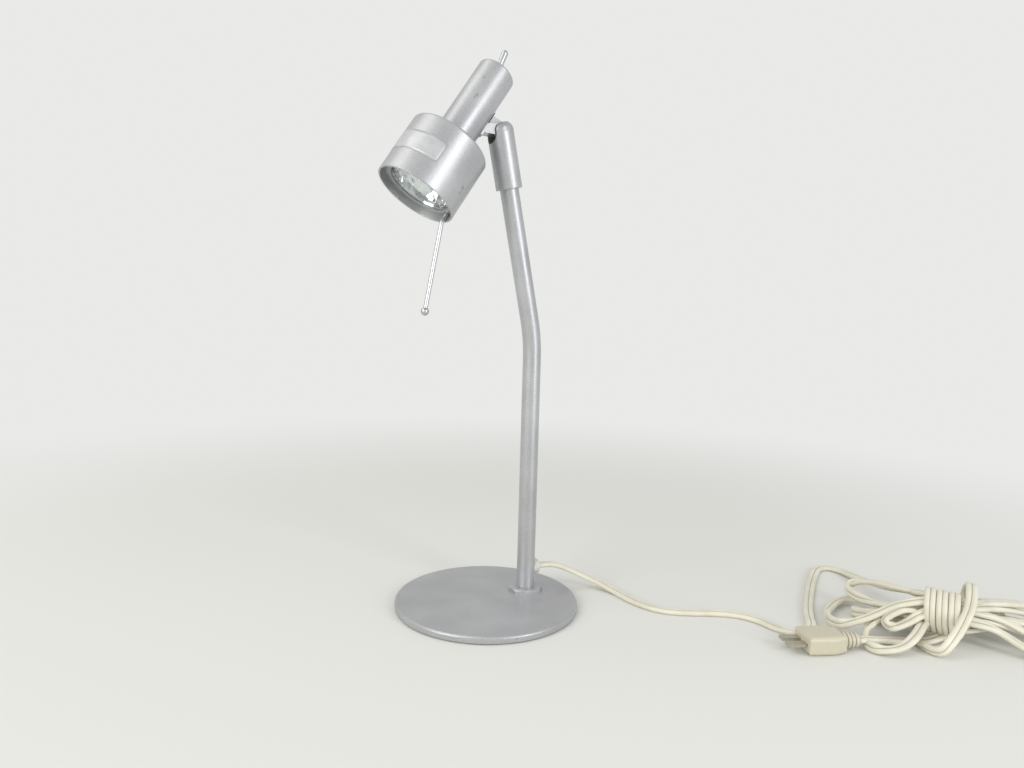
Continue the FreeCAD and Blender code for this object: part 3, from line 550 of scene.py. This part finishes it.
def silver_paint():
    """Silver-grey satin enamel: sprayed, with fine metal flake that sparkles and a faint orange peel."""
    material, shader, tree = new_material(
        "sprayed_silver_enamel", Metallic=0.6, Coat_Weight=0.15, Coat_Roughness=0.35)
    place = add(tree, "ShaderNodeTexCoord").outputs["Object"]
    flake = add(tree, "ShaderNodeTexNoise", None, {"Vector": place, "Scale": 2600.0, "Detail": 2.0})
    fine = two_tone(tree, flake.outputs["Fac"], 0.3, 0.72, "acadb0", "c7c8ca")
    cloud = add(tree, "ShaderNodeTexNoise", None, {"Vector": place, "Scale": 45.0, "Detail": 4.0})
    broad = two_tone(tree, cloud.outputs["Fac"], 0.35, 0.7, "eeeeee", "ffffff")
    mixed = add(tree, "ShaderNodeMix", {"data_type": "RGBA", "blend_type": "MULTIPLY"}, {
        "Factor": 1.0, 6: fine, 7: broad})
    ragged = add(tree, "ShaderNodeTexNoise", None, {"Vector": place, "Scale": 1400.0, "Detail": 3.0})
    wear = None
    for spot, reach in worn_spots:
        away = add(tree, "ShaderNodeVectorMath", {"operation": "DISTANCE"}, {0: place, 1: spot})
        near = add(tree, "ShaderNodeMapRange", None, {
            "Value": away.outputs["Value"], "From Min": reach * worn_core, "From Max": reach * worn_edge,
            "To Min": 1.0, "To Max": 0.0})
        if wear is None:
            wear = near.outputs["Result"]
        else:
            more = add(tree, "ShaderNodeMath", {"operation": "MAXIMUM"}, {0: wear, 1: near.outputs["Result"]})
            wear = more.outputs["Value"]
    broken = add(tree, "ShaderNodeMath", {"operation": "MULTIPLY"}, {0: wear, 1: ragged.outputs["Fac"]})
    chipped = add(tree, "ShaderNodeMapRange", None, {
        "Value": broken.outputs["Value"], "From Min": 0.22, "From Max": 0.42, "To Max": 0.5})
    worn = add(tree, "ShaderNodeMix", {"data_type": "RGBA"}, {
        "Factor": chipped.outputs["Result"], 6: mixed.outputs[2]})
    worn.inputs[7].default_value = linear("7d7977")
    tree.links.new(worn.outputs[2], shader.inputs["Base Color"])
    rubbed = add(tree, "ShaderNodeMapRange", None, {
        "Value": cloud.outputs["Fac"], "From Min": 0.3, "From Max": 0.7, "To Min": 0.36, "To Max": 0.44})
    tree.links.new(rubbed.outputs["Result"], shader.inputs["Roughness"])
    peel = add(tree, "ShaderNodeTexNoise", None, {"Vector": place, "Scale": 1500.0, "Detail": 2.0})
    bump = add(tree, "ShaderNodeBump", None, {
        "Height": peel.outputs["Fac"], "Strength": 0.16, "Distance": 0.0002})
    tree.links.new(bump.outputs["Normal"], shader.inputs["Normal"])
    return material


paint = silver_paint()
dressed(paint, "painted_steel", "base_disc", "pole_nut", "pole", "knuckle_sleeve", "shade", "rear_tube",
        "head_bracket")


# The film label: a blank strip of clear self-adhesive film round the shade's left side, a little
# paler and glossier than the paint that shows through it.
label_front = 0.0114
label_rear = 0.0222
label_start = math.radians(17.6)
label_turn = math.radians(130)
label_corner = 0.0012
label_steps = 60
label_columns = 8
film_thickness = 0.00006


def film_strip():
    """The film's outer face with rounded corners, given its thickness by a Solidify modifier."""
    form = bmesh.new()
    rows = []
    arc = shade_radius * label_turn
    middle, half = (label_front + label_rear) / 2, (label_rear - label_front) / 2
    for i in range(label_steps + 1):
        run = arc * i / label_steps
        inset = max(0.0, label_corner - min(run, arc - run))
        cut = label_corner - math.sqrt(label_corner ** 2 - inset ** 2)
        angle = label_start + label_turn * i / label_steps
        reach = half - cut
        radius = shade_radius + film_thickness
        rows.append([form.verts.new(on_head(middle + reach * (2 * k / label_columns - 1), angle, radius))
                     for k in range(label_columns + 1)])
    for near, far in zip(rows, rows[1:]):
        for k in range(label_columns):
            form.faces.new((near[k], far[k], far[k + 1], near[k + 1])).smooth = True
    mesh = bpy.data.meshes.new("film_label")
    form.to_mesh(mesh)
    form.free()
    return mesh


def clear_film():
    """Clear satin polyester film over the silver paint: paler, with a soft gloss and faint mottling."""
    material, shader, tree = new_material(
        "clear_polyester_film", Metallic=0.3, Roughness=0.4, Coat_Weight=0.15, Coat_Roughness=0.3)
    place = add(tree, "ShaderNodeTexCoord").outputs["Object"]
    mottle = add(tree, "ShaderNodeTexNoise", None, {"Vector": place, "Scale": 260.0, "Detail": 4.0})
    colour = two_tone(tree, mottle.outputs["Fac"], 0.3, 0.7, "b5b6b9", "c4c5c7")
    tree.links.new(colour, shader.inputs["Base Color"])
    bump = add(tree, "ShaderNodeBump", None, {
        "Height": mottle.outputs["Fac"], "Strength": 0.12, "Distance": 0.0003})
    tree.links.new(bump.outputs["Normal"], shader.inputs["Normal"])
    return material


label = link(bpy.data.objects.new("film_label", film_strip()))
wall = label.modifiers.new("thickness", "SOLIDIFY")
wall.thickness = film_thickness
wall.offset = -1
label.data.materials.append(clear_film())
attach(label, "head")

# The bright parts: the bent aiming rod, the ball on its end and the switch's lever. They are metal,
# polished and chrome plated, so they mirror the studio softly.
round_crease = math.radians(70)


def simple(name, tones, grain, **sockets):
    """A finish with a faint grain in its tones and its relief, at a scale of grains per metre."""
    material, shader, tree = new_material(name, **sockets)
    place = add(tree, "ShaderNodeTexCoord").outputs["Object"]
    noise = add(tree, "ShaderNodeTexNoise", None, {"Vector": place, "Scale": grain, "Detail": 3.0})
    tree.links.new(two_tone(tree, noise.outputs["Fac"], 0.3, 0.7, *tones), shader.inputs["Base Color"])
    bump = add(tree, "ShaderNodeBump", None, {
        "Height": noise.outputs["Fac"], "Strength": 0.1, "Distance": 0.0001})
    tree.links.new(bump.outputs["Normal"], shader.inputs["Normal"])
    return material


chrome = simple("polished_chrome_plate", ("b9bbbd", "c9cbcd"), 9000.0, Metallic=1.0, Roughness=0.34)
dressed(chrome, "chrome", "aiming_rod", "rod_ball", "toggle_lever", crease=round_crease)

# The fasteners: screws, nuts, a washer, the lamp's pins and the switch's bushing. They are steel,
# nickel plated, which shines warmer than chrome.
nickel = simple("nickel_plated_steel", ("b4b3ae", "cccbc6"), 1200.0, Metallic=1.0, Roughness=0.3)
dressed(nickel, "plated_fasteners", "switch_bushing", "switch_nut", "swivel_screw", "lock_nut",
        "foot_washer", "socket_screw", "rod_block_screw", "bracket_screws", "lamp_pins")

# The two pivot pins: short steel pins, flush with the sleeve's cheeks and sprayed over with the
# same paint, so they hardly show.
dressed(paint, "plated_fasteners", "pivot_pins")

# The rings in the shade: the retaining ring, the lamp's seat, and the bush that joins shade and
# tube. They are aluminium, stamped or turned, satin and a little grey.
ring_finish = simple("stamped_aluminium_ring", ("9c9e9f", "adafb0"), 1500.0, Metallic=0.6, Roughness=0.42)
dressed(ring_finish, "ring_metal", "retaining_ring", "lamp_seat", "joining_bush")

# The pad under the base: black rubber, cut from sheet and glued on, quite matt.
rubber_pad = simple("rubber_foot_pad", ("1f1f1f", "2b2b2b"), 1500.0, Roughness=0.85)
dressed(rubber_pad, "foot_pad", "base_pad")

# The cord's outlet at the pole's foot: moulded of milky clear vinyl and pushed into the pole, so
# light gets a little way into it.
milky = simple("milky_clear_vinyl", ("e9ebe6", "f2f3ef"), 700.0, Roughness=0.35,
               Transmission_Weight=0.35, IOR=1.5)
dressed(milky, "clear_sleeve", "cord_outlet")

# The two washers at the pivot: turned nylon, off-white and satin, one on each side.
nylon = simple("nylon_washer", ("d8d6cf", "e2e0da"), 900.0, Roughness=0.5)
dressed(nylon, "washer_plastic", "pivot_washers")

# The edging of the tube's slot: black rubber, moulded and pressed round the slot, almost matt.
edging = simple("black_rubber_edging", ("151515", "202020"), 1500.0, Roughness=0.6)
dressed(edging, "edging_rubber", "slot_edging")

# The rod's block and the switch's case: moulded black phenolic, dark with a dull shine. Both are
# inside the head.
black_plastic = simple("moulded_black_phenolic", ("141414", "1e1e1e"), 1200.0, Roughness=0.45)
dressed(black_plastic, "block_plastic", "rod_block")
dressed(black_plastic, "switch_plastic", "switch_case")

# The lamp's socket and base: steatite ceramic, pressed and fired, cream white and matt.
ceramic = simple("steatite_ceramic", ("d9d5ca", "e5e2d9"), 900.0, Roughness=0.55)
dressed(ceramic, "ceramic", "lamp_socket", "lamp_base")

# The switch's terminals and the plug's blades: stamped brass. The terminals are bare and yellow,
# and the blades are tinned, so they look grey.
brass = simple("stamped_brass", ("b8943f", "cfae5c"), 900.0, Metallic=1.0, Roughness=0.3)
dressed(brass, "terminal_brass", "switch_terminals")
tinned_brass = simple("tinned_brass_blade", ("b3ad9c", "cac4b4"), 900.0, Metallic=1.0, Roughness=0.3)
dressed(tinned_brass, "blade_brass", "plug_blades")

# The wires inside head and pole: stranded copper in dark extruded vinyl, with a satin surface.
insulation = simple("wire_insulation", ("2a2a2a", "353535"), 900.0, Roughness=0.5)
dressed(insulation, "wire_vinyl", "head_wires", "pole_lead")

# The plug and its ribbed strain relief: ivory vinyl, moulded on to the cord's end, satin and a
# little darker than the cord.
ivory_moulding = simple("moulded_ivory_vinyl", ("c0baa4", "c9c3af"), 1500.0, Roughness=0.42)
dressed(ivory_moulding, "plug_vinyl", "plug_body", "plug_relief")

# The flat lead: a milky ribbon that comes out of the tube's edged slot and goes down through the
# sleeve. It is soft, so it bends with the head's tilt.
ribbon_start = (0, 0.0022, 0.2492)
ribbon_end = (0, -0.0050, 0.2588)
ribbon_cuts = 24
cuts_past = 4


def ribbon_mesh():
    """The lead's shape, cut across many times along its length."""
    form = bmesh.new()
    form.from_mesh(frame["nodes"]["flat_lead"].data)
    bmesh.ops.remove_doubles(form, verts=form.verts, dist=weld)
    way = Vector(ribbon_end) - Vector(ribbon_start)
    for k in range(-cuts_past, ribbon_cuts + cuts_past + 1):
        everything = form.verts[:] + form.edges[:] + form.faces[:]
        bmesh.ops.bisect_plane(form, geom=everything, plane_co=Vector(ribbon_start) + way * k / ribbon_cuts,
                               plane_no=way, dist=1e-7)
    bmesh.ops.recalc_face_normals(form, faces=form.faces)
    mesh = bpy.data.meshes.new("flat_lead_ribbon")
    form.to_mesh(mesh)
    form.free()
    return mesh


ribbon = link(bpy.data.objects.new("flat_lead_ribbon", ribbon_mesh()))
ribbon.data.materials.clear()
ribbon.data.materials.append(simple("milky_flat_lead", ("c3c6c1", "d5d8d3"), 700.0, Roughness=0.3))
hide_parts("flat_lead")
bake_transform(ribbon)

# The reflector lamp: a pressed glass bowl with a faceted mirror inside, behind a clear front glass.
# The facets are flat and a little uneven, so each one catches a different light.
facet_rings = 6
facet_sectors = 24
mirror_lip = 0.0152
mirror_throat = 0.0047
mirror_front = 0.0066
mirror_depth = 0.0166
mirror_wall = 0.0002
facet_unevenness = 0.00025
facet_seed = 7
bowl_curve = 1.45
weld_facets = 0.00001


def facet_tree(finish):
    """Wraps a grid into a bowl: its first side runs from lip to throat, its second goes round."""
    tree = bpy.data.node_groups.new("faceted_bowl", "GeometryNodeTree")
    tree.interface.new_socket(name="Geometry", in_out="OUTPUT", socket_type="NodeSocketGeometry")
    for name, kind in (("Rings", "Int"), ("Sectors", "Int"), ("Lip", "Float"), ("Throat", "Float"),
                       ("Front", "Float"), ("Depth", "Float"), ("Unevenness", "Float")):
        tree.interface.new_socket(name=name, in_out="INPUT", socket_type="NodeSocket" + kind)
    sizes = tree.nodes.new("NodeGroupInput").outputs
    grid = add(tree, "GeometryNodeMeshGrid", None, {
        "Size X": 1.0, "Size Y": 1.0, "Vertices X": sizes["Rings"], "Vertices Y": sizes["Sectors"]})
    place = add(tree, "ShaderNodeSeparateXYZ", None, {0: add(tree, "GeometryNodeInputPosition").outputs[0]})

    def reckon(operation, first, second):
        return add(tree, "ShaderNodeMath", {"operation": operation}, {0: first, 1: second}).outputs[0]

    inwards = reckon("ADD", place.outputs["X"], 0.5)
    round_angle = reckon("MULTIPLY", reckon("ADD", place.outputs["Y"], 0.5), 2 * math.pi)
    whole_narrowing = reckon("SUBTRACT", sizes["Lip"], sizes["Throat"])
    narrowing = reckon("MULTIPLY", reckon("POWER", inwards, bowl_curve), whole_narrowing)
    radius = reckon("SUBTRACT", sizes["Lip"], narrowing)
    target = add(tree, "ShaderNodeCombineXYZ", None, {
        "X": reckon("MULTIPLY", radius, reckon("COSINE", round_angle, 0.0)),
        "Y": reckon("MULTIPLY", radius, reckon("SINE", round_angle, 0.0)),
        "Z": reckon("ADD", sizes["Front"], reckon("MULTIPLY", inwards, sizes["Depth"]))})
    bowl = add(tree, "GeometryNodeSetPosition", None, {
        "Geometry": grid.outputs["Mesh"], "Position": target.outputs[0]})
    closed = add(tree, "GeometryNodeMergeByDistance", None, {
        "Geometry": bowl.outputs[0], "Distance": weld_facets})
    spread = add(tree, "FunctionNodeRandomValue", {"data_type": "FLOAT_VECTOR"}, {
        "Min": (-1.0, -1.0, -1.0), "Max": (1.0, 1.0, 1.0), "Seed": facet_seed})
    shift = add(tree, "ShaderNodeVectorMath", {"operation": "SCALE"}, {
        0: spread.outputs["Value"], "Scale": sizes["Unevenness"]})
    uneven = add(tree, "GeometryNodeSetPosition", None, {
        "Geometry": closed.outputs[0], "Offset": shift.outputs[0]})
    whole = add(tree, "GeometryNodeRealizeInstances", None, {"Geometry": uneven.outputs[0]})
    coated = add(tree, "GeometryNodeSetMaterial", None, {"Geometry": whole.outputs[0], "Material": finish})
    add(tree, "NodeGroupOutput", None, {"Geometry": coated.outputs[0]})
    return tree


def settled(name, holder):
    """A plain mesh of what the modifiers make, as a new object."""
    evaluated = holder.evaluated_get(bpy.context.evaluated_depsgraph_get())
    mesh = bpy.data.meshes.new_from_object(evaluated)
    bpy.data.objects.remove(holder)
    return link(bpy.data.objects.new(name, mesh))


mirror = simple("aluminised_facet_mirror", ("dfe2e5", "f1f3f5"), 400.0, Metallic=1.0, Roughness=0.08)
holder = link(bpy.data.objects.new("facet_holder", bpy.data.meshes.new("facet_holder")))
facets = holder.modifiers.new("facets", "NODES")
facets.node_group = facet_tree(mirror)
facet_sizes = {
    "Rings": facet_rings + 1, "Sectors": facet_sectors + 1, "Lip": mirror_lip, "Throat": mirror_throat,
    "Front": mirror_front, "Depth": mirror_depth, "Unevenness": facet_unevenness}
for socket in facets.node_group.interface.items_tree:
    if socket.in_out == "INPUT":
        facets[socket.identifier] = facet_sizes[socket.name]
shell = holder.modifiers.new("shell", "SOLIDIFY")
shell.thickness = mirror_wall
shell.offset = 0
faceted = settled("faceted_mirror", holder)
head_turn = Matrix((Vector((1, 0, 0)), -head_top, head_back)).transposed().to_4x4()
faceted.data.transform(Matrix.Translation(rim_centre) @ head_turn)
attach(faceted, "head")

# The lamp's front glass and its capsule: clear glass, smooth and hardly tinted. The front closes
# the bowl, and the capsule stands in its neck. The bowl's own wall has the mirror's finish.
def clear_glass():
    """Clear soda-lime glass, smooth and hardly tinted."""
    return new_material("clear_lamp_glass", Base_Color=linear("f7faf8"), Roughness=0.0, IOR=1.45,
                        Transmission_Weight=1.0)[0]


dressed(clear_glass(), "lamp_front_glass", "lamp_glass", "lamp_capsule")
dressed(mirror, "lamp_mirror", "lamp_reflector")
